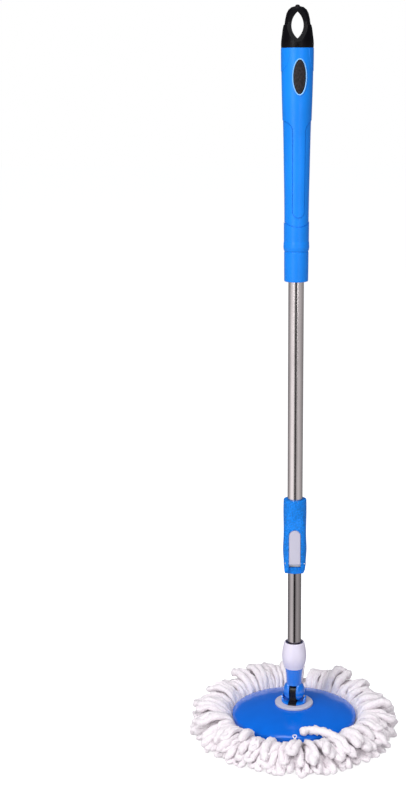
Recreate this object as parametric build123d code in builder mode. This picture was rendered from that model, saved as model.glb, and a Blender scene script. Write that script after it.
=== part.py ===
"""Spin mop with a telescopic press-to-spin pole and a round lift-off refill.

Millimetres, +Z up, origin on the floor under the pole. The lock lever and the grip
badge face -Y. Every sub-part is written to its own STEP file in parts/.
"""

import os
from math import cos, radians, sin

from build123d import *

# ---- driving dimensions ------------------------------------------------------------

# refill and disc
YARN_R = 136.0          # reach of the spread yarn from the axis
YARN_BORE = 81.5        # yarn stays outside the disc's lift path
YARN_TOP = 44.0
RING_BASE = 14.0        # underside of the refill's snap ring
RING_TOP = 25.3
RING_R = 76.0
DISC_R = 80.0
DISC_EDGE = 25.8        # the domed top meets the rim here
DISC_SKIRT = 21.2       # lower edge of the rim
DISC_TOP = 39.7         # flat seat of the hub ring
RIBS = 8

# hub and tilting knuckle
HUB_RING_R = 24.6
HUB_RING_TOP = 43.0
SKIRT_R = 16.15
SKIRT_TOP = 45.3
CHEEK_TOP = 51.5        # top of the two stops beside the ears
PIN_Z = 58.0            # height of the tilt pin
PIN_R = 2.5
LUG_R = 8.6
LUG_W = 8.4
EAR_R = 12.3
EAR_OUT = 14.2          # radius of the ball that the ears are cut from
EAR_SLOT = 9.2          # gap between the ears
SLOT_TOP = 67.3
KNUCKLE_TURN = -10.0    # knuckle's turn about the pole, degrees

# coupling bell
BELL_BASE = 89.9
BELL_TOP = 124.8

# tubes
LOWER_R = 8.6
LOWER_BORE = 8.0
LOWER_BASE = 76.0
LOWER_TOP = 575.0
UPPER_R = 9.5
UPPER_BORE = 9.0
UPPER_BASE = 262.0
UPPER_TOP = 870.0
GRIP_BORE = 9.55

# twisted rod drive
ROD_W = 7.0
ROD_T = 3.0
ROD_PITCH = 155.0
ROD_BASE = 240.0
ROD_TOP = 716.0
GATE_Z = 585.0          # height of the slot that turns the nut

# lock collar and lever
COLLAR_BASE = 220.0
COLLAR_TOP = 315.0
LEVER_W = 14.6
LEVER_BASE = 228.6
LEVER_TOP = 278.6
LEVER_PIN_Y = -13.4
LEVER_PIN_Z = 234.5
LEVER_PIN_R = 1.25
FRAME_FACE = -16.6      # front face of the frame round the lever
FRAME_W = 28.0
FRAME_CORNER = 7.5

# hand grip and hanging cap
GRIP_BASE = 591.0
GRIP_TOP = 867.5
GRIP_TURN = 9.5         # grip's turn about the pole, degrees
BADGE_Z = 834.0
BADGE_W = 15.3
BADGE_H = 40.0
CAP_TOP = 915.0
EYE_BASE = 878.0
EYE_TOP = 909.0
EYE_W = 14.2
PANEL_DEPTH = 0.6       # the grip's side panels lie this far under its surface
SEAM_DEPTH = 1.3
TONGUE_W = 14.2         # plain strip left between the panels

# (height, radius) along the grip, from the lower end to the cap
GRIP_LINE = [
    (640.0, 15.15), (669.0, 15.3), (697.0, 15.6), (725.5, 16.15), (754.0, 16.65),
    (782.0, 17.3), (810.0, 18.15), (838.5, 18.8), (GRIP_TOP, 19.1),
]
COLLAR_LINE = [
    (COLLAR_BASE, 11.8), (225.0, 13.0), (237.0, 14.3), (250.0, 15.0), (262.0, 14.5),
    (280.0, 14.3), (296.0, 14.6), (305.0, 14.6), (COLLAR_TOP, 14.3),
]
CAP_LINE = [
    (GRIP_TOP, 19.1), (876.0, 19.1), (882.9, 18.2), (889.7, 17.3), (893.5, 16.4),
]

BODIES = []


def keep(name, built, turn=0.0):
    """Turn a finished sub-part about the pole, name it and put it on the list to write."""
    part = built.part.rotate(Axis.Z, turn) if turn else built.part
    part.label = name
    BODIES.append(part)


def facing(plane_angle):
    """Upright plane through the pole: x runs outward at this angle, y runs up."""
    a = radians(plane_angle)
    return Plane(origin=(0, 0, 0), x_dir=(cos(a), sin(a), 0), z_dir=(sin(a), -cos(a), 0))


def outline(*points, plane=Plane.XZ):
    """Closed straight-sided sketch; on the default plane a point is (radius, height)."""
    with BuildSketch(plane) as drawn:
        with BuildLine():
            Polyline(*points, close=True)
        make_face()
    return drawn.sketch


def tube_face(inner, outer, low, high):
    """Half-section of a plain tube."""
    return outline((inner, low), (outer, low), (outer, high), (inner, high))


def smooth_face(line, inner, shrink=0.0):
    """Half-section between a straight bore and a smooth (height, radius) line."""
    points = [(r - shrink, z) for z, r in line]
    with BuildSketch(Plane.XZ) as drawn:
        with BuildLine():
            Spline(*points)
            Polyline(points[-1], (inner, points[-1][1]), (inner, points[0][1]), points[0])
        make_face()
    return drawn.sketch


# ---- refill ------------------------------------------------------------------------

with BuildPart() as yarn:
    with BuildSketch(Plane.XZ):
        with BuildLine():
            Polyline((YARN_BORE, 30.0), (YARN_BORE, 13.4), (50.0, 13.4), (50.0, 0.0), (128.0, 0.0))
            Spline((128.0, 0.0), (134.5, 3.0), (YARN_R, 10.0), (132.5, 19.0), (123.0, 29.0),
                   (110.0, 38.0), (98.0, 43.0), (91.0, YARN_TOP), (85.5, 40.5), (82.6, 35.5),
                   (YARN_BORE, 30.0))
        make_face()
    revolve(axis=Axis.Z)
keep("yarn_bundle", yarn)

with BuildPart() as stitch_band:
    revolve(tube_face(56.0, RING_R, 13.5, RING_BASE), axis=Axis.Z)
keep("stitch_band", stitch_band)

with BuildPart() as snap_ring:
    revolve(outline((58.0, RING_BASE), (RING_R, RING_BASE), (RING_R, RING_TOP - 0.8),
                    (RING_R - 0.8, RING_TOP), (RING_R - 2.6, RING_TOP), (RING_R - 2.6, 17.0),
                    (58.0, 17.0)), axis=Axis.Z)
    with Locations((0, 0, RING_BASE)):
        with PolarLocations(64.5, 24):
            Cylinder(1.6, 3.0, align=(Align.CENTER, Align.CENTER, Align.MIN), mode=Mode.SUBTRACT)
keep("snap_ring", snap_ring)

# ---- disc and hub ------------------------------------------------------------------

SCREW_SPOTS = [(11.5 * cos(radians(a)), 11.5 * sin(radians(a))) for a in (30, 150, 210, 330)]

with BuildPart() as mop_disc:
    with BuildSketch(Plane.XZ):
        with BuildLine():
            Polyline((4.2, 36.2), (4.2, DISC_TOP), (26.0, DISC_TOP))
            Spline((26.0, DISC_TOP), (45.0, 38.0), (60.0, 35.4), (70.0, 32.6), (76.5, 29.8),
                   (79.1, 28.0), (DISC_R, DISC_EDGE), tangents=[(1, -0.02), (-0.02, -1)])
            Line((DISC_R, DISC_EDGE), (77.4, DISC_EDGE))
            Spline((77.4, DISC_EDGE), (75.0, 28.1), (69.0, 30.2), (59.0, 32.9), (45.0, 35.4),
                   (30.0, 36.2))
            Line((30.0, 36.2), (4.2, 36.2))
        make_face()
    revolve(axis=Axis.Z)
    for rib in range(RIBS):
        with BuildSketch(facing(360.0 / RIBS * (rib + 0.5))):
            with BuildLine():
                Polyline((21.0, 36.6), (21.0, 33.4), (45.0, 32.4), (59.0, 29.9), (69.0, 27.4),
                         (75.6, 26.4), (75.6, 28.1), (69.0, 30.6), (59.0, 33.3), (45.0, 35.8),
                         (30.0, 36.6), close=True)
            make_face()
        extrude(amount=0.9, both=True)
    with Locations(*[(x, y, 36.2) for x, y in SCREW_SPOTS]):
        Cylinder(1.55, 12.0, mode=Mode.SUBTRACT)
keep("mop_disc", mop_disc, KNUCKLE_TURN)

with BuildPart() as disc_rim:
    revolve(outline((77.4, DISC_EDGE), (DISC_R, DISC_EDGE), (DISC_R, 22.0), (79.2, DISC_SKIRT),
                    (77.4, DISC_SKIRT)), axis=Axis.Z)
keep("disc_rim", disc_rim)

with BuildPart() as hub_ring:
    revolve(outline((14.6, DISC_TOP), (HUB_RING_R - 0.3, DISC_TOP), (HUB_RING_R, 40.2),
                    (HUB_RING_R, 41.8), (HUB_RING_R - 0.4, 42.6), (HUB_RING_R - 1.2, HUB_RING_TOP),
                    (14.6, HUB_RING_TOP)), axis=Axis.Z)
keep("hub_ring", hub_ring)

with BuildPart() as cheeks:
    revolve(tube_face(EAR_OUT + 0.4, SKIRT_R, 43.3, 60.0), axis=Axis.Z)
    with Locations((0, 0, CHEEK_TOP - 7.0)):
        Cylinder(7.0, 40.0, rotation=(0, 90, 0), mode=Mode.INTERSECT)

with BuildPart() as knuckle_base:
    add(cheeks.part)
    revolve(outline((0, DISC_TOP), (14.5, DISC_TOP), (14.5, 43.3), (SKIRT_R, 43.3),
                    (SKIRT_R, 44.5), (SKIRT_R - 0.8, SKIRT_TOP), (0, SKIRT_TOP)), axis=Axis.Z)
    with Locations((0, 0, 41.2)):
        Box(10.8, 40.0, 10.0, align=(Align.CENTER, Align.CENTER, Align.MIN), mode=Mode.SUBTRACT)
    with Locations((0, 0, DISC_TOP)):
        Cylinder(2.6, 8.0, mode=Mode.SUBTRACT)
    with Locations(*[(x, y, DISC_TOP) for x, y in SCREW_SPOTS]):
        Cylinder(1.55, 7.0, mode=Mode.SUBTRACT)
keep("knuckle_base", knuckle_base, KNUCKLE_TURN)

with BuildPart() as knuckle_lug:
    with Locations((0, 0, PIN_Z)):
        Cylinder(LUG_R, LUG_W, rotation=(0, 90, 0))
    with Locations((0, 0, 41.2)):
        Box(LUG_W, 2 * LUG_R, PIN_Z - 41.2, align=(Align.CENTER, Align.CENTER, Align.MIN))
        Box(10.6, 26.8, 3.8, align=(Align.CENTER, Align.CENTER, Align.MIN))
    with Locations((0, 0, 43.1)):
        Box(10.6, 31.8, 1.9, align=(Align.CENTER, Align.CENTER, Align.MIN))
    with Locations((0, 0, PIN_Z)):
        Cylinder(PIN_R + 0.05, LUG_W + 1, rotation=(0, 90, 0), mode=Mode.SUBTRACT)
    with Locations((0, 0, 41.2)):
        Cylinder(2.6, 18.0, mode=Mode.SUBTRACT)
keep("knuckle_lug", knuckle_lug, KNUCKLE_TURN)

with BuildPart() as clamp_washer:
    revolve(tube_face(2.7, 17.0, 34.7, 36.2), axis=Axis.Z)
    with Locations(*[(x, y, 35.4) for x, y in SCREW_SPOTS]):
        Cylinder(1.6, 4.0, mode=Mode.SUBTRACT)
keep("clamp_washer", clamp_washer, KNUCKLE_TURN)

with BuildPart() as hub_screws:
    with Locations(*[(x, y, 34.7) for x, y in SCREW_SPOTS]):
        Cylinder(2.9, 2.2, align=(Align.CENTER, Align.CENTER, Align.MAX))
        Cylinder(1.5, 8.3, align=(Align.CENTER, Align.CENTER, Align.MIN))
    with Locations(*[(x, y, 32.5) for x, y in SCREW_SPOTS]):
        Box(3.4, 0.8, 2.0, mode=Mode.SUBTRACT)
keep("hub_screws", hub_screws, KNUCKLE_TURN)

with BuildPart() as hub_bolt:
    with BuildSketch(Plane.XY.offset(31.2)):
        RegularPolygon(4.6, 6)
    extrude(amount=3.5)
    with Locations((0, 0, 34.7)):
        Cylinder(2.5, 15.0, align=(Align.CENTER, Align.CENTER, Align.MIN))
keep("hub_bolt", hub_bolt, KNUCKLE_TURN)

with BuildPart() as hub_cover:
    revolve(outline((0, 26.4), (17.6, 26.4), (19.4, 28.2), (19.4, 36.2), (17.8, 36.2),
                    (17.8, 28.8), (17.0, 28.0), (0, 28.0)), axis=Axis.Z)
keep("hub_cover", hub_cover)

# ---- lower pole --------------------------------------------------------------------

with BuildPart() as pole_fork:
    with Locations((0, 0, PIN_Z)):
        Cylinder(EAR_R, 40.0, rotation=(0, 90, 0))
        Sphere(EAR_OUT, mode=Mode.INTERSECT)
    revolve(outline((0, PIN_Z), (10.0, PIN_Z), (9.9, 72.0), (10.4, 80.0), (11.2, 88.0),
                    (11.6, 88.4), (11.6, 89.6), (11.0, 89.6), (11.0, 97.6), (11.9, 98.2),
                    (11.9, 99.4), (11.0, 100.4), (11.0, 116.0), (10.0, 117.0), (0, 117.0)),
            axis=Axis.Z)
    with Locations((0, 0, LOWER_BASE)):
        Cylinder(LOWER_R + 0.03, 60.0, align=(Align.CENTER, Align.CENTER, Align.MIN),
                 mode=Mode.SUBTRACT)
    with Locations((0, 0, SLOT_TOP)):
        Box(EAR_SLOT, 40.0, 30.0, align=(Align.CENTER, Align.CENTER, Align.MAX),
            mode=Mode.SUBTRACT)
    with Locations((0, 0, PIN_Z)):
        Cylinder(PIN_R + 0.02, 2 * EAR_OUT + 1, rotation=(0, 90, 0), mode=Mode.SUBTRACT)
    with Locations((0, 0, 107.0)):
        Cylinder(1.62, 30.0, rotation=(90, 0, 0), mode=Mode.SUBTRACT)
keep("pole_fork", pole_fork, KNUCKLE_TURN)

with BuildPart() as tilt_pin:
    with Locations((0, 0, PIN_Z)):
        Cylinder(PIN_R, 2 * EAR_OUT - 1.0, rotation=(0, 90, 0))
    chamfer(tilt_pin.edges().filter_by(GeomType.CIRCLE), length=0.5)
keep("tilt_pin", tilt_pin, KNUCKLE_TURN)

with BuildPart() as lower_tube:
    revolve(tube_face(LOWER_BORE, LOWER_R, LOWER_BASE, LOWER_TOP), axis=Axis.Z)
    with Locations((0, 0, 107.0)):
        Cylinder(1.62, 30.0, rotation=(90, 0, 0), mode=Mode.SUBTRACT)
keep("lower_tube", lower_tube, KNUCKLE_TURN)

with BuildPart() as fork_rivet:
    with Locations((0, 0, 107.0)):
        Cylinder(1.6, 21.6, rotation=(90, 0, 0))
keep("fork_rivet", fork_rivet, KNUCKLE_TURN)

with BuildPart() as clutch_ring:
    revolve(outline((5.0, 545.0), (LOWER_BORE - 0.05, 545.0), (LOWER_BORE - 0.05, LOWER_TOP),
                    (7.0, LOWER_TOP), (7.0, 577.0), (7.9, 577.2), (7.9, 578.5), (5.0, 578.5)),
            axis=Axis.Z)
    with Locations((0, 0, 578.5)):
        with PolarLocations(6.3, 12):
            Box(1.8, 1.0, 1.0, align=(Align.CENTER, Align.CENTER, Align.MIN))
keep("clutch_ring", clutch_ring)

# ---- coupling bell -----------------------------------------------------------------

with BuildPart() as coupling_bell:
    with BuildSketch(Plane.XZ):
        with BuildLine():
            Polyline((11.35, 97.2), (11.35, BELL_BASE), (12.1, BELL_BASE), (12.5, 90.3),
                     (12.7, 91.2))
            Spline((12.7, 91.2), (14.0, 95.0), (15.3, 100.5), (15.7, 106.0), (15.2, 112.5),
                   (14.1, 119.0), (13.0, BELL_TOP - 0.8))
            Polyline((13.0, BELL_TOP - 0.8), (12.5, BELL_TOP), (11.6, BELL_TOP),
                     (11.3, BELL_TOP - 0.8), (12.4, 119.0), (13.4, 112.5), (13.8, 106.0),
                     (13.4, 100.5), (12.6, 97.2), (11.35, 97.2))
        make_face()
    revolve(axis=Axis.Z)
keep("coupling_bell", coupling_bell)

# ---- drive carriage and nut --------------------------------------------------------

with BuildPart() as slide_bush:
    revolve(outline((7.1, 575.4), (8.9, 575.4), (8.9, 600.0), (4.6, 600.0), (4.6, 598.4),
                    (8.2, 598.4), (8.2, 576.7), (7.1, 576.7)), axis=Axis.Z)
keep("slide_bush", slide_bush)

with BuildPart() as clutch_spring:
    with BuildLine():
        coil = Helix(pitch=2.4, height=6.6, radius=6.3, center=(0, 0, 591.1))
    with BuildSketch(Plane(origin=coil @ 0, z_dir=coil % 0)):
        Circle(0.5)
    sweep(is_frenet=True)
keep("clutch_spring", clutch_spring)

with BuildPart() as drive_nut:
    revolve(outline((4.4, 581.0), (7.7, 581.0), (7.7, 589.5), (7.2, 590.0), (4.4, 590.0)),
            axis=Axis.Z)
    with BuildSketch(Plane.XY.offset(GATE_Z - 0.75)):
        Circle(5.0)
        Rectangle(ROD_W + 0.9, ROD_T + 0.9, mode=Mode.SUBTRACT)
    extrude(amount=1.5)
    with Locations((0, 0, 581.0)):
        with PolarLocations(6.3, 12):
            Box(1.8, 1.0, 1.0, align=(Align.CENTER, Align.CENTER, Align.MAX))
keep("drive_nut", drive_nut)

# ---- upper handle ------------------------------------------------------------------

with BuildPart() as upper_tube:
    revolve(tube_face(UPPER_BORE, UPPER_R, UPPER_BASE, UPPER_TOP), axis=Axis.Z)
    with Locations((0, 0, 720.0)):
        Cylinder(1.52, 30.0, rotation=(0, 90, 0), mode=Mode.SUBTRACT)
keep("upper_tube", upper_tube)

with BuildPart() as rod_anchor:
    revolve(outline((4.2, 700.0), (8.95, 700.0), (8.95, 724.0), (0, 724.0), (0, ROD_TOP),
                    (4.2, ROD_TOP)), axis=Axis.Z)
    with Locations((0, 0, 720.0)):
        Cylinder(1.52, 30.0, rotation=(0, 90, 0), mode=Mode.SUBTRACT)
keep("rod_anchor", rod_anchor)

with BuildPart() as anchor_pin:
    with Locations((0, 0, 720.0)):
        Cylinder(1.5, 2 * UPPER_R - 0.4, rotation=(0, 90, 0))
keep("anchor_pin", anchor_pin)

ROD_TWIST = 360.0 * (ROD_TOP - ROD_BASE) / ROD_PITCH
ROD_START = -360.0 * (GATE_Z - ROD_BASE) / ROD_PITCH

with BuildPart() as drive_rod:
    with BuildSketch(Plane.XY.offset(ROD_BASE)) as strip:
        Rectangle(ROD_W, ROD_T, rotation=ROD_START)
    add(Solid.extrude_linear_with_rotation(
        strip.sketch.faces()[0], (0, 0, ROD_BASE), (0, 0, ROD_TOP - ROD_BASE), ROD_TWIST))
keep("drive_rod", drive_rod)

with BuildPart() as rod_stop:
    revolve(outline((0, 231.0), (4.9, 231.0), (5.5, 231.6), (5.5, ROD_BASE), (0, ROD_BASE)),
            axis=Axis.Z)
keep("rod_stop", rod_stop)

with BuildPart() as lever_frame:
    with BuildSketch(Plane.XY.offset(221.0)) as frame_end:
        with Locations((0, (FRAME_FACE + 8.0) / 2)):
            RectangleRounded(FRAME_W, 8.0 - FRAME_FACE, FRAME_CORNER)
    extrude(amount=280.0 - 221.0)
    add(extrude(frame_end.sketch.moved(Location((0, 0, 280.0 - 221.0))), amount=22.0, taper=12.0))
    with BuildSketch(Plane.YZ):
        Polygon((10.0, 221.0), (-12.4, 221.0), (-15.4, 224.0), (FRAME_FACE, 228.0),
                (FRAME_FACE, 302.0), (10.0, 302.0), align=None)
    extrude(amount=20.0, both=True, mode=Mode.INTERSECT)
    with BuildSketch(Plane.XZ):
        Polygon((-11.9, 220.9), (-12.9, 224.0), (-13.4, 229.5), (-14.1, 234.0),
                (-14.1, 303.0), (14.1, 303.0), (14.1, 234.0), (13.4, 229.5), (13.0, 226.5),
                (10.4, 220.9), align=None)
    extrude(amount=20.0, both=True, mode=Mode.INTERSECT)

with BuildPart() as lock_collar:
    revolve(smooth_face(COLLAR_LINE, 0.0), axis=Axis.Z)
    add(lever_frame.part)
    revolve(tube_face(0, 8.95, 200.0, 244.0), axis=Axis.Z, mode=Mode.SUBTRACT)
    revolve(tube_face(0, GRIP_BORE, 244.0, 330.0), axis=Axis.Z, mode=Mode.SUBTRACT)
    with BuildSketch(Plane.XZ.offset(11.3)):
        with Locations((0, (LEVER_TOP - LEVER_W / 2 + LEVER_BASE) / 2)):
            Rectangle(LEVER_W + 0.7, LEVER_TOP - LEVER_W / 2 - LEVER_BASE)
        with Locations((0, LEVER_TOP - LEVER_W / 2)):
            Circle(LEVER_W / 2 + 0.35)
    extrude(amount=20.0, mode=Mode.SUBTRACT)
    with Locations((0, -5.0, LEVER_BASE)):
        Box(LEVER_W + 0.7, 20.0, 11.2, align=(Align.CENTER, Align.MAX, Align.MIN),
            mode=Mode.SUBTRACT)
    with Locations((0, -12.2, LEVER_BASE)):
        Box(LEVER_W + 0.7, 20.0, 20.0, align=(Align.CENTER, Align.MAX, Align.MAX),
            mode=Mode.SUBTRACT)
    with Locations((0, LEVER_PIN_Y, LEVER_PIN_Z)):
        Cylinder(LEVER_PIN_R + 0.02, 40.0, rotation=(0, 90, 0), mode=Mode.SUBTRACT)
keep("lock_collar", lock_collar)

with BuildPart() as collar_bush:
    revolve(tube_face(LOWER_R + 0.06, GRIP_BORE - 0.02, 244.0, UPPER_BASE), axis=Axis.Z)
keep("collar_bush", collar_bush)

with BuildPart() as lever_pin:
    with Locations((0, LEVER_PIN_Y, LEVER_PIN_Z)):
        Cylinder(LEVER_PIN_R, 24.8, rotation=(0, 90, 0))
keep("lever_pin", lever_pin)

with BuildPart() as lock_lever:
    with BuildSketch(Plane.YZ):
        with BuildLine():
            Polyline((-12.2, LEVER_PIN_Z + 6.6), (-12.2, LEVER_TOP), (-16.4, LEVER_TOP),
                     (-16.4, LEVER_PIN_Z + 3.0), (-16.3, LEVER_PIN_Z),
                     (LEVER_PIN_Y, LEVER_PIN_Z), (-11.6, LEVER_PIN_Z + 3.0), close=True)
        make_face()
        with Locations((LEVER_PIN_Y + 0.35, LEVER_PIN_Z + 0.35)):
            Circle(2.6)
        with Locations((LEVER_PIN_Y + 1.3, LEVER_PIN_Z + 0.7)):
            Circle(1.6)
    extrude(amount=LEVER_W / 2, both=True)
    with BuildSketch(Plane.XZ.offset(10.0)):
        with Locations((0, (LEVER_TOP - LEVER_W / 2 + LEVER_BASE) / 2)):
            Rectangle(LEVER_W, LEVER_TOP - LEVER_W / 2 - LEVER_BASE)
        with Locations((0, LEVER_TOP - LEVER_W / 2)):
            Circle(LEVER_W / 2)
    extrude(amount=20.0, mode=Mode.INTERSECT)
    lever_front = lock_lever.faces().sort_by(Axis.Y)[0]
    chamfer([e for e in lever_front.edges() if e.center().Z > LEVER_PIN_Z + 4.0], length=0.8)
    with Locations((0, LEVER_PIN_Y, LEVER_PIN_Z)):
        Cylinder(LEVER_PIN_R + 0.05, 40.0, rotation=(0, 90, 0), mode=Mode.SUBTRACT)
keep("lock_lever", lock_lever)

with BuildPart() as brake_pad:
    with Locations((0, -10.2, LEVER_PIN_Z - 0.3)):
        Box(LEVER_W, 4.0, 10.0, align=(Align.CENTER, Align.MIN, Align.CENTER))
    revolve(tube_face(0, 9.0, 220.0, 250.0), axis=Axis.Z, mode=Mode.SUBTRACT)
keep("brake_pad", brake_pad)

# ---- hand grip, badge and hanging cap ----------------------------------------------

with BuildPart() as grip_panel:
    with BuildSketch(Plane.XZ) as panel_edge:
        with BuildLine():
            Polyline((-18.5, 784.0), (-18.5, 666.0))
            ThreePointArc((-18.5, 666.0), (0, 657.5), (18.5, 666.0))
            Polyline((18.5, 666.0), (18.5, 784.0))
            ThreePointArc((18.5, 784.0), (11.0, 779.6), (TONGUE_W / 2 + 0.2, 768.0))
            Polyline((TONGUE_W / 2 + 0.2, 768.0), (TONGUE_W / 2 - 0.2, 676.0))
            ThreePointArc((TONGUE_W / 2 - 0.2, 676.0), (0, 669.3), (0.2 - TONGUE_W / 2, 676.0))
            Polyline((0.2 - TONGUE_W / 2, 676.0), (-0.2 - TONGUE_W / 2, 768.0))
            ThreePointArc((-0.2 - TONGUE_W / 2, 768.0), (-11.0, 779.6), (-18.5, 784.0))
        make_face()
    extrude(amount=30.0, both=True)
    revolve(smooth_face(GRIP_LINE, 0.0, shrink=PANEL_DEPTH), axis=Axis.Z, mode=Mode.SUBTRACT)

with BuildPart() as panel_seam:
    with BuildSketch(Plane.XZ):
        add(panel_edge.sketch)
        offset(panel_edge.sketch, amount=-0.55, kind=Kind.INTERSECTION, mode=Mode.SUBTRACT)
    extrude(amount=30.0, both=True)
    revolve(smooth_face(GRIP_LINE, 0.0, shrink=SEAM_DEPTH), axis=Axis.Z, mode=Mode.SUBTRACT)

with BuildPart() as thumb_wings:
    revolve(smooth_face(GRIP_LINE, 0.0, shrink=-0.4), axis=Axis.Z)
    with BuildSketch(Plane.YZ):
        with BuildLine():
            Polyline((-13.6, 851.0), (-15.2, 859.0), (-15.7, GRIP_TOP - 0.6),
                     (15.7, GRIP_TOP - 0.6), (15.2, 859.0), (13.6, 851.0))
            ThreePointArc((13.6, 851.0), (0, 840.5), (-13.6, 851.0))
        make_face()
    extrude(amount=30.0, both=True, mode=Mode.INTERSECT)

with BuildPart() as badge_rim:
    revolve(smooth_face(GRIP_LINE, 0.0, shrink=-0.35), axis=Axis.Z)
    with BuildSketch(Plane.XZ.offset(14.5)):
        with Locations((0, BADGE_Z)):
            Ellipse(BADGE_W / 2 + 1.35, BADGE_H / 2 + 1.35)
    extrude(amount=10.0, mode=Mode.INTERSECT)

with BuildPart() as hand_grip:
    revolve(smooth_face(GRIP_LINE, 0.0), axis=Axis.Z)
    revolve(outline((0, GRIP_BASE), (14.1, GRIP_BASE), (14.6, GRIP_BASE + 1.0), (14.8, 612.0),
                    (14.85, 626.0), (14.5, 626.8), (14.5, 628.0), (15.2, 628.8), (15.7, 632.5),
                    (15.5, 637.0), (15.15, 640.0), (0, 640.0)), axis=Axis.Z)
    add(grip_panel.part, mode=Mode.SUBTRACT)
    add(panel_seam.part, mode=Mode.SUBTRACT)
    add(thumb_wings.part)
    add(badge_rim.part)
    with BuildSketch(Plane.XZ.offset(15.4)):
        with Locations((0, BADGE_Z)):
            Ellipse(BADGE_W / 2 + 0.2, BADGE_H / 2 + 0.2)
    extrude(amount=8.0, mode=Mode.SUBTRACT)
    revolve(tube_face(0, GRIP_BORE, 580.0, 900.0), axis=Axis.Z, mode=Mode.SUBTRACT)
    revolve(tube_face(0, 14.05, 849.5, 900.0), axis=Axis.Z, mode=Mode.SUBTRACT)
keep("hand_grip", hand_grip, GRIP_TURN)

with BuildPart() as grip_badge:
    with BuildSketch(Plane.XZ.offset(15.4)):
        with Locations((0, BADGE_Z)):
            Ellipse(BADGE_W / 2, BADGE_H / 2)
    extrude(amount=8.0)
    revolve(smooth_face(GRIP_LINE, 0.0, shrink=0.2), axis=Axis.Z, mode=Mode.INTERSECT)
keep("grip_badge", grip_badge, GRIP_TURN)

with BuildPart() as hanging_cap:
    revolve(smooth_face(CAP_LINE, 0.0), axis=Axis.Z)
    revolve(outline((0, 893.0), (16.4, 893.5), (15.3, 894.5), (14.6, 900.0), (13.0, 906.8),
                    (10.8, 911.0), (7.2, 914.0), (3.0, CAP_TOP), (2.0, 916.6), (0, 917.0)),
            axis=Axis.Z)
    with BuildSketch(Plane.YZ):
        with BuildLine():
            Polyline((-9.5, 930.0), (-9.5, 897.0), (-20.0, 872.0), (-30.0, 872.0), (-30.0, 930.0),
                     close=True)
        make_face()
        mirror(about=Plane.YZ)
    extrude(amount=30.0, both=True, mode=Mode.SUBTRACT)
    with BuildSketch(Plane.XZ):
        with BuildLine():
            ThreePointArc((0, EYE_BASE), (EYE_W / 2, (EYE_BASE + EYE_TOP) / 2), (0, EYE_TOP))
            ThreePointArc((0, EYE_TOP), (-EYE_W / 2, (EYE_BASE + EYE_TOP) / 2), (0, EYE_BASE))
        make_face()
    extrude(amount=40.0, both=True, mode=Mode.SUBTRACT)
    revolve(tube_face(0, 14.0, 850.0, GRIP_TOP), axis=Axis.Z)
    revolve(tube_face(0, GRIP_BORE, 840.0, UPPER_TOP), axis=Axis.Z, mode=Mode.SUBTRACT)
keep("hanging_cap", hanging_cap)

# ---- write -------------------------------------------------------------------------

os.makedirs("parts", exist_ok=True)
for body in BODIES:
    export_step(body, f"parts/{body.label}.step")
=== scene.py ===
"""Spin mop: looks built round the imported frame. Metres, +Z up, the lever and badge face -Y."""

import math
import random

import bpy
from mathutils import Matrix, Vector, noise


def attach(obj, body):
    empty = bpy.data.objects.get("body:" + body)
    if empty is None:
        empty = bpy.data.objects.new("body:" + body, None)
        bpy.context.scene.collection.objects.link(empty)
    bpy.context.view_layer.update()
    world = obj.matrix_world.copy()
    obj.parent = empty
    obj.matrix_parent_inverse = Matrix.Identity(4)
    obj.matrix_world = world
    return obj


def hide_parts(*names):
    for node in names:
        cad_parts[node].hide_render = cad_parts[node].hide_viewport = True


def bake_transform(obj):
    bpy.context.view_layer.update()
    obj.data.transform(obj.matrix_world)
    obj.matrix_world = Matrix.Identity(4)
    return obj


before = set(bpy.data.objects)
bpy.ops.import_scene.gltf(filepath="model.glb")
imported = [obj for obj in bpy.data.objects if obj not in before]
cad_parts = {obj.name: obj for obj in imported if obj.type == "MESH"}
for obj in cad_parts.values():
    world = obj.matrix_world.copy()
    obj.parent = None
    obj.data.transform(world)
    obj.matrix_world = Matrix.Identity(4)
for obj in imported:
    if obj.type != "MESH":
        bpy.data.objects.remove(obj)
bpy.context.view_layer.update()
random.seed(41)
noise.seed_set(41)

# ---- camera and light --------------------------------------------------------------

CAMERA_SPOT = (0.0, -1.80076, 0.83955)
CAMERA_DOWN = math.radians(12.4246)
CAMERA_LEFT = math.radians(3.6522)
CAMERA_ROLL = math.radians(-0.4854)
CAMERA_LENS = 66.808
SENSOR_W = 36.0
POLE_MIDDLE = (0, 0, 0.45)

bpy.ops.object.camera_add(location=CAMERA_SPOT)
camera = bpy.context.object
camera.name = "front_camera"
camera.matrix_world = (Matrix.Translation(CAMERA_SPOT)
                       @ Matrix.Rotation(CAMERA_LEFT, 4, "Z")
                       @ Matrix.Rotation(math.pi / 2 - CAMERA_DOWN, 4, "X")
                       @ Matrix.Rotation(CAMERA_ROLL, 4, "Z"))
camera.data.sensor_width = SENSOR_W
camera.data.lens = CAMERA_LENS
camera.data.dof.use_dof = False
bpy.context.scene.camera = camera
bpy.context.scene.view_settings.view_transform = "Standard"


def soft_light(name, spot, aim, width, height, power):
    """One rectangular studio light at a spot, turned to face the aim; power in watts."""
    bpy.ops.object.light_add(type="AREA", location=spot)
    lamp = bpy.context.object
    lamp.name = name
    lamp.data.shape = "RECTANGLE"
    lamp.data.size = width
    lamp.data.size_y = height
    lamp.data.energy = power
    look = Vector(aim) - Vector(spot)
    lamp.rotation_euler = look.to_track_quat("-Z", "Y").to_euler()


soft_light("key_light", (-1.15, -1.95, 1.25), POLE_MIDDLE, width=0.5, height=1.7, power=27.0)
soft_light("fill_light", (0.95, -2.0, 1.0), POLE_MIDDLE, width=0.4, height=1.5, power=9.0)
soft_light("top_light", (-0.25, -0.55, 2.5), (0, 0, 0), width=1.1, height=1.1, power=30.0)

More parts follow.
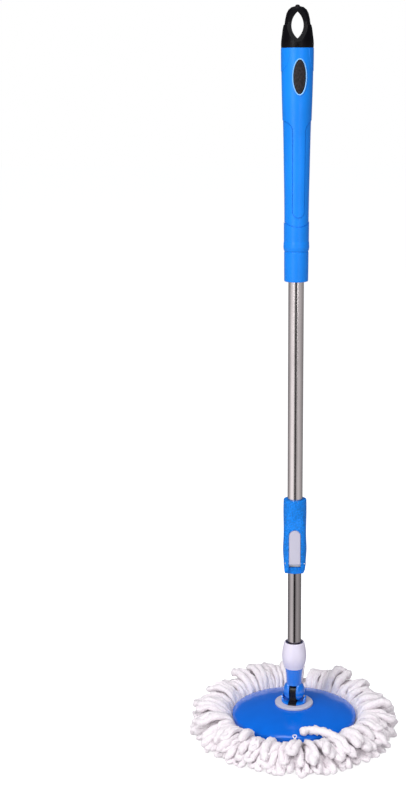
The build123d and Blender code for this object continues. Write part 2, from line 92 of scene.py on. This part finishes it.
world = bpy.data.worlds.new("studio_air")
bpy.context.scene.world = world
world.use_nodes = True
air = world.node_tree
ray = air.nodes.new("ShaderNodeLightPath")


def air_glow(name, color, strength):
    """One even background colour."""
    glow = air.nodes.new("ShaderNodeBackground")
    glow.name = name
    glow.inputs["Color"].default_value = (*color, 1.0)
    glow.inputs["Strength"].default_value = strength
    return glow.outputs["Background"]


def air_switch(test, otherwise, when_true):
    """Show one background to the kind of ray that is tested and the other to the rest."""
    switch = air.nodes.new("ShaderNodeMixShader")
    air.links.new(ray.outputs[test], switch.inputs["Fac"])
    air.links.new(otherwise, switch.inputs[1])
    air.links.new(when_true, switch.inputs[2])
    return switch.outputs["Shader"]


# the room lights the mop evenly, reflections see it dimmer, and behind the mop it is white
room = air_glow("room", (0.93, 0.94, 1.0), strength=0.34)
dim_room = air_glow("dim_room", (0.90, 0.92, 1.0), strength=0.13)
backdrop = air_glow("backdrop", (1.0, 1.0, 1.0), strength=1.0)
sky = air_switch("Is Camera Ray", air_switch("Is Glossy Ray", room, dim_room), backdrop)
air.links.new(sky, air.nodes["World Output"].inputs["Surface"])


# ---- materials ---------------------------------------------------------------------

def new_finish(name, color, rough, metal=0.0):
    """A material with its principled shader set, and the node tree to add detail to."""
    made = bpy.data.materials.new(name)
    made.use_nodes = True
    tree = made.node_tree
    shader = tree.nodes["Principled BSDF"]
    shader.inputs["Base Color"].default_value = (*color, 1.0)
    shader.inputs["Roughness"].default_value = rough
    shader.inputs["Metallic"].default_value = metal
    return made, tree, shader


def object_grain(tree, scale, detail, stretch=(1.0, 1.0, 1.0)):
    """Noise read from object coordinates; returns the noise node."""
    place = tree.nodes.new("ShaderNodeTexCoord")
    fit = tree.nodes.new("ShaderNodeMapping")
    fit.inputs["Scale"].default_value = stretch
    grain = tree.nodes.new("ShaderNodeTexNoise")
    grain.inputs["Scale"].default_value = scale
    grain.inputs["Detail"].default_value = detail
    tree.links.new(place.outputs["Object"], fit.inputs["Vector"])
    tree.links.new(fit.outputs["Vector"], grain.inputs["Vector"])
    return grain


def tint_between(tree, shader, source, dark, light, low=0.35, high=0.65):
    """Colour the base from dark to light as the source rises."""
    ramp = tree.nodes.new("ShaderNodeValToRGB")
    ramp.color_ramp.elements[0].position = low
    ramp.color_ramp.elements[0].color = (*dark, 1.0)
    ramp.color_ramp.elements[1].position = high
    ramp.color_ramp.elements[1].color = (*light, 1.0)
    tree.links.new(source, ramp.inputs["Fac"])
    tree.links.new(ramp.outputs["Color"], shader.inputs["Base Color"])


def rough_between(tree, shader, source, low, high):
    """Vary the roughness between two values with the source."""
    span = tree.nodes.new("ShaderNodeMapRange")
    span.inputs["To Min"].default_value = low
    span.inputs["To Max"].default_value = high
    tree.links.new(source, span.inputs["Value"])
    tree.links.new(span.outputs["Result"], shader.inputs["Roughness"])


def raise_grain(tree, shader, source, strength, depth):
    """Bump the surface by the source; depth in metres."""
    bump = tree.nodes.new("ShaderNodeBump")
    bump.inputs["Strength"].default_value = strength
    bump.inputs["Distance"].default_value = depth
    tree.links.new(source, bump.inputs["Height"])
    tree.links.new(bump.outputs["Normal"], shader.inputs["Normal"])


def moulded_plastic(name, color, rough, grain_scale=900.0, grain_depth=0.00006, lift=1.12,
                    gloss=0.0, shine=0.5, mottle=22.0):
    """Moulded plastic with mottling, uneven polish and a fine moulded grain.

    lift is the lightest mottle over the plain colour, mottle and grain_scale are noise
    scales, grain_depth is in metres, gloss is a clear coat and shine the plain reflection.
    """
    made, tree, shader = new_finish(name, color, rough)
    shader.inputs["Specular IOR Level"].default_value = shine
    shader.inputs["Coat Weight"].default_value = gloss
    shader.inputs["Coat Roughness"].default_value = 0.06
    cloud = object_grain(tree, mottle, 3.0)
    dark = tuple(c * (2.0 - lift) for c in color)
    light = tuple(min(1.0, c * lift) for c in color)
    tint_between(tree, shader, cloud.outputs["Fac"], dark, light)
    polish = object_grain(tree, 140.0, 4.0)
    rough_between(tree, shader, polish.outputs["Fac"], rough * 0.8, rough * 1.2)
    grain = object_grain(tree, grain_scale, 2.0)
    raise_grain(tree, shader, grain.outputs["Fac"], 0.5, grain_depth)
    return made


def drawn_steel(name, color, rough):
    """Thin polished tube: fine lines along its length and slight smears."""
    made, tree, shader = new_finish(name, color, rough, metal=1.0)
    smear = object_grain(tree, 60.0, 4.0, stretch=(1.0, 1.0, 0.25))
    tint_between(tree, shader, smear.outputs["Fac"], tuple(c * 0.86 for c in color), color)
    lines = object_grain(tree, 2600.0, 2.0, stretch=(1.0, 1.0, 0.01))
    rough_between(tree, shader, lines.outputs["Fac"], rough * 0.75, rough * 1.35)
    raise_grain(tree, shader, lines.outputs["Fac"], 0.25, 0.00002)
    return made


def plain_steel(name, color, rough):
    """Turned steel of pins, screws and washers."""
    made, tree, shader = new_finish(name, color, rough, metal=1.0)
    marks = object_grain(tree, 1500.0, 3.0, stretch=(1.0, 1.0, 0.2))
    tint_between(tree, shader, marks.outputs["Fac"], tuple(c * 0.8 for c in color), color)
    rough_between(tree, shader, marks.outputs["Fac"], rough * 0.7, rough * 1.4)
    return made


def cord_fibre(name, color, shade):
    """Microfibre cord: fluffy mottled pile, soft sheen, no gloss."""
    made, tree, shader = new_finish(name, color, 0.95)
    shader.inputs["Sheen Weight"].default_value = 0.35
    shader.inputs["Sheen Roughness"].default_value = 0.5
    shader.inputs["Specular IOR Level"].default_value = 0.15
    clump = object_grain(tree, 360.0, 5.0)
    tint_between(tree, shader, clump.outputs["Fac"], shade, color, 0.32, 0.56)
    pile = object_grain(tree, 700.0, 6.0)
    raise_grain(tree, shader, pile.outputs["Fac"], 0.9, 0.0018)
    return made


disc_blue = moulded_plastic("disc_blue_plastic", (0.0004, 0.132, 0.66), 0.2, gloss=0.2,
                            lift=1.04, grain_depth=0.00002, shine=0.2)
fork_blue = moulded_plastic("fork_blue_plastic", (0.001, 0.19, 0.80), 0.22, gloss=0.7,
                            lift=1.05, grain_depth=0.00003)
collar_blue = moulded_plastic("collar_blue_plastic", (0.0005, 0.20, 0.74), 0.45,
                              grain_scale=650.0, grain_depth=0.0011, shine=0.25,
                              lift=1.22, mottle=480.0)
grip_blue = moulded_plastic("grip_blue_plastic", (0.001, 0.228, 0.86), 0.42,
                            grain_scale=1600.0, grain_depth=0.0001, lift=1.05, shine=0.3)
cap_black = moulded_plastic("cap_black_plastic", (0.002, 0.0015, 0.003), 0.42, lift=1.3,
                            shine=0.13)
lug_black = moulded_plastic("lug_black_plastic", (0.004, 0.003, 0.008), 0.25, lift=1.3,
                            shine=0.4)
# pale blue that paints a highlight along the badge's rim; the bead below carries it
badge_highlight_paint = moulded_plastic("badge_bead_painted_highlight", (0.22, 0.52, 0.95), 0.3, lift=1.04)
badge_dark = moulded_plastic("badge_grained_insert", (0.012, 0.0075, 0.0095), 0.6,
                             grain_scale=800.0, grain_depth=0.0014, lift=1.85, shine=0.4,
                             mottle=420.0)
bell_white = moulded_plastic("bell_white_plastic", (0.78, 0.73, 0.86), 0.32, lift=1.03)
ring_white = moulded_plastic("hub_ring_pale_plastic", (0.56, 0.54, 0.64), 0.35, lift=1.05)
lever_grey = moulded_plastic("lever_pale_plastic", (0.55, 0.53, 0.64), 0.4, lift=1.04)
snap_white = moulded_plastic("snap_ring_plastic", (0.78, 0.78, 0.80), 0.45, lift=1.03)
clutch_cream = moulded_plastic("clutch_acetal", (0.74, 0.72, 0.66), 0.4, lift=1.04)
tube_steel = drawn_steel("drawn_steel_tube", (0.60, 0.56, 0.56), 0.2)
# the same drawn steel painted darker for the lower tube: painted shade for the darker
# reflections it shows
lower_steel_painted_darker = drawn_steel("drawn_steel_lower_tube_painted_darker", (0.345, 0.322, 0.328), 0.17)
pin_steel = plain_steel("turned_steel", (0.62, 0.62, 0.63), 0.3)
# near-white steel for the lever pin: a painted highlight, so its end shows as a white glint
glint_painted_steel = plain_steel("glint_painted_steel", (0.95, 0.95, 0.95), 0.5)
cord_white = cord_fibre("white_cord_fibre", (1.0, 0.945, 0.975), (0.93, 0.835, 0.89))
tape_white = cord_fibre("sewn_tape", (0.70, 0.69, 0.72), (0.52, 0.51, 0.55))

NODE_FINISH = {
    "stitch_band": tape_white, "snap_ring": snap_white,
    "mop_disc": disc_blue, "disc_rim": disc_blue, "hub_ring": ring_white,
    "knuckle_base": fork_blue, "knuckle_lug": lug_black, "clamp_washer": pin_steel,
    "hub_screws": pin_steel, "hub_bolt": pin_steel, "hub_cover": lug_black,
    "pole_fork": fork_blue, "tilt_pin": pin_steel, "lower_tube": lower_steel_painted_darker,
    "fork_rivet": pin_steel, "clutch_ring": clutch_cream, "coupling_bell": bell_white,
    "slide_bush": clutch_cream, "clutch_spring": pin_steel, "drive_nut": clutch_cream,
    "upper_tube": tube_steel, "rod_anchor": clutch_cream, "anchor_pin": pin_steel,
    "drive_rod": pin_steel, "rod_stop": pin_steel, "lock_collar": collar_blue,
    "collar_bush": clutch_cream, "lever_pin": glint_painted_steel, "lock_lever": lever_grey,
    "brake_pad": clutch_cream, "hand_grip": grip_blue, "grip_badge": badge_dark,
    "hanging_cap": cap_black,
}
for node_name, finish in NODE_FINISH.items():
    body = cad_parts[node_name].data
    body.materials.clear()
    body.materials.append(finish)


# ---- yarn --------------------------------------------------------------------------

CORD_R = 0.0040
LEAST_HEIGHT = 0.0045           # lowest middle line of a cord, just clear of the floor
CREST_FRONT = 0.0295            # top of the yarn where it sags at the front
CREST_BACK_GAIN = 0.0100        # how much higher it stands at the back
BACK_LIFT = 0.03                # extra lift of the tips at the back, in crest heights
TUFT_LIFT = 0.26                # and of the tuft that stands up at the back left
TUFT_ANGLE = 113.0
TUFT_SPREAD = 17.0
OVER_RIM = 0.098                # radius where a cord starts down from the rim
LOOP_PART = 0.0030              # half the gap between the two legs of a looped finger
LOOP_RADIUS = 0.11              # and the radius where that gap is measured
WAVES_PER_M = 130.0
KNOTS_PER_M = 420.0


def at(angle, radius, height, aside=0.0):
    """Point at an angle about the pole (degrees, 0 at +X), shifted sideways by aside."""
    a = math.radians(angle)
    return Vector((radius * math.cos(a) - aside * math.sin(a),
                   radius * math.sin(a) + aside * math.cos(a), height))


def crest_height(angle):
    """Top of the spread yarn: low at the front, where it sags, and high at the back."""
    back = 0.5 + 0.5 * math.sin(math.radians(angle))
    return CREST_FRONT + CREST_BACK_GAIN * back


def lay_cord(curve, points, girths):
    """One cord as a smooth spline; girths scale its thickness along it."""
    line = curve.splines.new("NURBS")
    line.points.add(len(points) - 1)
    for spot, point, girth in zip(line.points, points, girths):
        spot.co = (*point, 1.0)
        spot.radius = girth
    line.order_u = 4
    line.use_endpoint_u = True
    line.resolution_u = 3


def lie_of_cord(angle, reach, crest, tip, sway, wander):
    """Points from under the rim, over the crest and down to the tip, drifting sideways.

    Each step holds a radius, a height and its share of the sway; bow shares out the wander.
    """
    middle = 0.5 * (OVER_RIM + reach)
    steps = [(0.070, 0.007, 0.0), (0.079, 0.010, 0.05), (0.0870, 0.7 * crest + 0.002, 0.1),
             (0.0925, crest, 0.2), (middle, 0.45 * crest + 0.55 * tip + 0.005, 0.62),
             (reach - 0.009, tip + 0.0025, 0.93), (reach - 0.002, tip, 1.0)]
    bow = (0.0, 0.0, 0.2, 0.7, 1.0, 0.3, 0.0)
    return [at(angle, r, max(z, LEAST_HEIGHT), sway * k + wander * w)
            for (r, z, k), w in zip(steps, bow)]


def cut_finger(curve, angle, reach, crest, tip, sway, wander, girth):
    """A single cord with a rounded end."""
    points = lie_of_cord(angle, reach, crest, tip, sway, wander)
    points.append(points[-1] + 0.0018 * (points[-1] - points[-2]).normalized())
    girths = (0.75, 0.8, 0.9, 1.0, 1.08, 1.2, 1.0, 0.15)
    lay_cord(curve, points, [g * girth for g in girths])


def looped_finger(curve, angle, reach, crest, tip, sway, wander, girth):
    """A cord that goes out, turns at the tip and comes back beside itself."""
    half = math.degrees(LOOP_PART * girth / LOOP_RADIUS)
    out = lie_of_cord(angle - half, reach - 0.003, crest, tip, sway, wander)
    back = lie_of_cord(angle + half, reach - 0.003, crest * random.uniform(0.88, 1.04), tip,
                       sway, wander * random.uniform(0.3, 1.2))
    turn = at(angle, reach, max(tip, LEAST_HEIGHT), sway)
    points = out + [turn] + back[::-1]
    girths = (0.6, 0.62, 0.7, 0.78, 0.82, 0.86, 0.82)
    girths = girths + (0.8,) + girths[::-1]
    lay_cord(curve, points, [g * girth for g in girths])


def cord_curve(name):
    """An empty curve whose splines come out as round, closed, low-sided cords."""
    curve = bpy.data.curves.new(name, "CURVE")
    curve.dimensions = "3D"
    curve.bevel_depth = CORD_R
    curve.bevel_resolution = 1
    curve.use_fill_caps = True
    return curve


def cord_layer(name, count, crest_share, reach, tip_share, girth, start, looped, spread):
    """A ring of cords at one level of the spread yarn.

    crest_share and tip_share are heights against the yarn's crest and the cord's own crest,
    looped is the share of cords that turn back, spread how unevenly they are set.
    """
    curve = cord_curve(name)
    for i in range(count):
        angle = start + 360.0 * (i + random.uniform(-spread, spread)) / count
        crest = crest_height(angle) * crest_share * random.uniform(0.9, 1.1)
        out = reach * random.uniform(0.945, 1.03)
        tuft = math.exp(-((angle % 360.0 - TUFT_ANGLE) / TUFT_SPREAD) ** 2)
        rise = BACK_LIFT * (1.0 + math.sin(math.radians(angle))) + TUFT_LIFT * tuft
        tip = crest * (tip_share * random.uniform(0.6, 1.3) + rise * crest_share)
        lie = (angle, out, crest, tip, random.uniform(-0.011, 0.011),
               random.uniform(-0.004, 0.004), girth * random.uniform(0.88, 1.14))
        if random.random() < looped:
            looped_finger(curve, *lie)
        else:
            cut_finger(curve, *lie)
    return curve


def curve_to_mesh(name, curve, finish):
    """A smooth-shaded mesh piece made from a finished curve."""
    piece = bpy.data.objects.new(name, curve)
    bpy.context.collection.objects.link(piece)
    bpy.ops.object.select_all(action="DESELECT")
    piece.select_set(True)
    bpy.context.view_layer.objects.active = piece
    bpy.ops.object.convert(target="MESH")
    piece = bpy.context.object
    bpy.ops.object.shade_smooth()
    piece.data.materials.append(finish)
    return piece


def cord_piece(name, curve, wave=0.0016, knots=0.0009):
    """Turn laid cords into one mesh with knotted, uneven sides; wave and knots in metres."""
    cords = curve_to_mesh(name, curve, cord_white)
    for vertex in cords.data.vertices:
        push = noise.noise_vector(vertex.co * WAVES_PER_M) * wave
        knot = noise.noise_vector(vertex.co * KNOTS_PER_M) * knots
        vertex.co += push + knot
    return cords


floor_cords = cord_piece("floor_cords", cord_layer(
    "floor_cords", 76, 0.26, 0.131, 0.9, 1.0, 0.0, 0.3, 0.3))
low_cords = cord_piece("low_cords", cord_layer(
    "low_cords", 72, 0.5, 0.134, 0.55, 1.06, 2.1, 0.5, 0.4))
middle_cords = cord_piece("middle_cords", cord_layer(
    "middle_cords", 66, 0.8, 0.132, 0.66, 1.18, 1.0, 0.5, 0.45))
crest_cords = cord_piece("crest_cords", cord_layer(
    "crest_cords", 62, 1.0, 0.127, 0.80, 1.22, 3.0, 0.5, 0.5))
for cords in (floor_cords, low_cords, middle_cords, crest_cords):
    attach(cords, "refill")
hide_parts("yarn_bundle")

# one cord and one loose thread lie over the rim, onto the disc: angle, radius and height
STRAY_LIE = [(-57.0, 0.110, 0.0240), (-58.0, 0.101, 0.0310), (-60.0, 0.092, 0.0345),
             (-64.0, 0.0815, 0.0345), (-69.5, 0.0748, 0.0352), (-75.5, 0.0728, 0.0362),
             (-80.5, 0.0752, 0.0350), (-82.6, 0.0765, 0.0338), (-83.2, 0.0768, 0.0335)]
STRAY_GIRTH = (1.0, 1.25, 1.5, 1.2, 1.55, 1.15, 1.6, 1.35, 0.2)
stray_path = cord_curve("stray_cord")
lay_cord(stray_path, [at(*spot) for spot in STRAY_LIE], STRAY_GIRTH)
stray_cord = cord_piece("stray_cord", stray_path, wave=0.0013, knots=0.0019)
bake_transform(stray_cord)

THREAD_LIE = [(-88.4, 0.0960, 0.0270), (-88.6, 0.0905, 0.0312), (-90.9, 0.0850, 0.0325),
              (-91.0, 0.0805, 0.0325), (-89.2, 0.0785, 0.0322), (-87.4, 0.0805, 0.0325),
              (-87.6, 0.0850, 0.0325), (-89.6, 0.0905, 0.0312), (-89.8, 0.0960, 0.0270)]
THREAD_GIRTH = 0.17
thread_path = cord_curve("stray_thread")
lay_cord(thread_path, [at(*spot) for spot in THREAD_LIE], [THREAD_GIRTH] * len(THREAD_LIE))
stray_thread = cord_piece("stray_thread", thread_path, wave=0.0, knots=0.0002)
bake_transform(stray_thread)

# ---- badge bead: pale blue, a painted highlight round the badge --------------------

BADGE_Z = 0.834
BEAD_W = 0.0082                 # half its width and half its height
BEAD_H = 0.0206
BEAD_OUT = 0.0189               # its distance from the pole's axis at BADGE_Z
BEAD_FLARE = 0.016              # and how fast that grows with height, as the grip does
BEAD_R = 0.0007
BEAD_STEPS = 64
GRIP_TURN = math.radians(9.5)

bead_path = bpy.data.curves.new("badge_bead", "CURVE")
bead_path.dimensions = "3D"
bead_path.bevel_depth = BEAD_R
bead_path.bevel_resolution = 2
bead_line = bead_path.splines.new("POLY")
bead_line.points.add(BEAD_STEPS - 1)
for i, spot in enumerate(bead_line.points):
    t = 2.0 * math.pi * i / BEAD_STEPS
    x, z = BEAD_W * math.cos(t), BADGE_Z + BEAD_H * math.sin(t)
    out = BEAD_OUT + BEAD_FLARE * (z - BADGE_Z)
    y = -math.sqrt(out * out - x * x)
    spot.co = (x * math.cos(GRIP_TURN) - y * math.sin(GRIP_TURN),
               x * math.sin(GRIP_TURN) + y * math.cos(GRIP_TURN), z, 1.0)
bead_line.use_cyclic_u = True
badge_bead = curve_to_mesh("badge_bead", bead_path, badge_highlight_paint)
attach(badge_bead, "upper_handle")

# ---- floor -------------------------------------------------------------------------

FLOOR_SIDE = 24.0
FLOOR_DROP = 0.0005             # how far it lies under the yarn
FLOOR_GLOW = 0.12               # light the floor gives the mop
FLOOR_SEEN = 0.80               # and how bright it looks to the camera
STREAK_STRENGTH = 1.5
# light and dark that only reflections see on the floor, by bearing from the front, degrees
STREAK_BEARINGS = [(-180, 0.22), (-125, 0.22), (-85, 0.55), (-62, 1.0), (-28, 0.95),
                   (-10, 0.02), (9, 0.02), (24, 0.45), (50, 0.62), (90, 0.40),
                   (130, 0.22), (180, 0.22)]

bpy.ops.object.select_all(action="DESELECT")
bpy.ops.mesh.primitive_plane_add(size=FLOOR_SIDE, location=(0, 0, -FLOOR_DROP))
floor = bpy.context.object
floor.name = "studio_floor"
floor_paint, floor_tree, floor_shader = new_finish("floor_white", (0.62, 0.62, 0.62), 0.8)
floor_shader.inputs["Specular IOR Level"].default_value = 0.0
floor_shader.inputs["Emission Color"].default_value = (1.0, 1.0, 1.0, 1.0)


def floor_node(kind, operation=None):
    """A node in the floor's paint."""
    made = floor_tree.nodes.new(kind)
    if operation:
        made.operation = operation
    return made


# seen directly the floor is plain white, and it lights the mop only a little
sight = floor_node("ShaderNodeLightPath")
glow = floor_node("ShaderNodeMapRange")
glow.inputs["To Min"].default_value = FLOOR_GLOW
glow.inputs["To Max"].default_value = FLOOR_SEEN
floor_tree.links.new(sight.outputs["Is Camera Ray"], glow.inputs["Value"])
floor_tree.links.new(glow.outputs["Result"], floor_shader.inputs["Emission Strength"])

# only reflections see this pattern on the floor; it draws the streaks on the steel
table = floor_node("ShaderNodeTexCoord")
sides = floor_node("ShaderNodeSeparateXYZ")
back_to_front = floor_node("ShaderNodeMath", "MULTIPLY")
back_to_front.inputs[1].default_value = -1.0
bearing_turn = floor_node("ShaderNodeMath", "ARCTAN2")
bearing_share = floor_node("ShaderNodeMapRange")
bearing_share.inputs["From Min"].default_value = -math.pi
bearing_share.inputs["From Max"].default_value = math.pi
streaks = floor_node("ShaderNodeValToRGB")
while len(streaks.color_ramp.elements) < len(STREAK_BEARINGS):
    streaks.color_ramp.elements.new(0.5)
for element, (bearing, level) in zip(streaks.color_ramp.elements, STREAK_BEARINGS):
    element.position = (bearing + 180) / 360
for element, (bearing, level) in zip(streaks.color_ramp.elements, STREAK_BEARINGS):
    element.color = (level, level * 0.97, level * 0.98, 1.0)
streak_light = floor_node("ShaderNodeEmission")
streak_light.inputs["Strength"].default_value = STREAK_STRENGTH
floor_tree.links.new(table.outputs["Object"], sides.inputs["Vector"])
floor_tree.links.new(sides.outputs["Y"], back_to_front.inputs[0])
floor_tree.links.new(sides.outputs["X"], bearing_turn.inputs[0])
floor_tree.links.new(back_to_front.outputs["Value"], bearing_turn.inputs[1])
floor_tree.links.new(bearing_turn.outputs["Value"], bearing_share.inputs["Value"])
floor_tree.links.new(bearing_share.outputs["Result"], streaks.inputs["Fac"])
floor_tree.links.new(streaks.outputs["Color"], streak_light.inputs["Color"])

streak_switch = floor_node("ShaderNodeMixShader")
floor_tree.links.new(sight.outputs["Is Glossy Ray"], streak_switch.inputs["Fac"])
floor_tree.links.new(floor_shader.outputs["BSDF"], streak_switch.inputs[1])
floor_tree.links.new(streak_light.outputs["Emission"], streak_switch.inputs[2])
floor_tree.links.new(streak_switch.outputs["Shader"],
                     floor_tree.nodes["Material Output"].inputs["Surface"])
floor.data.materials.append(floor_paint)
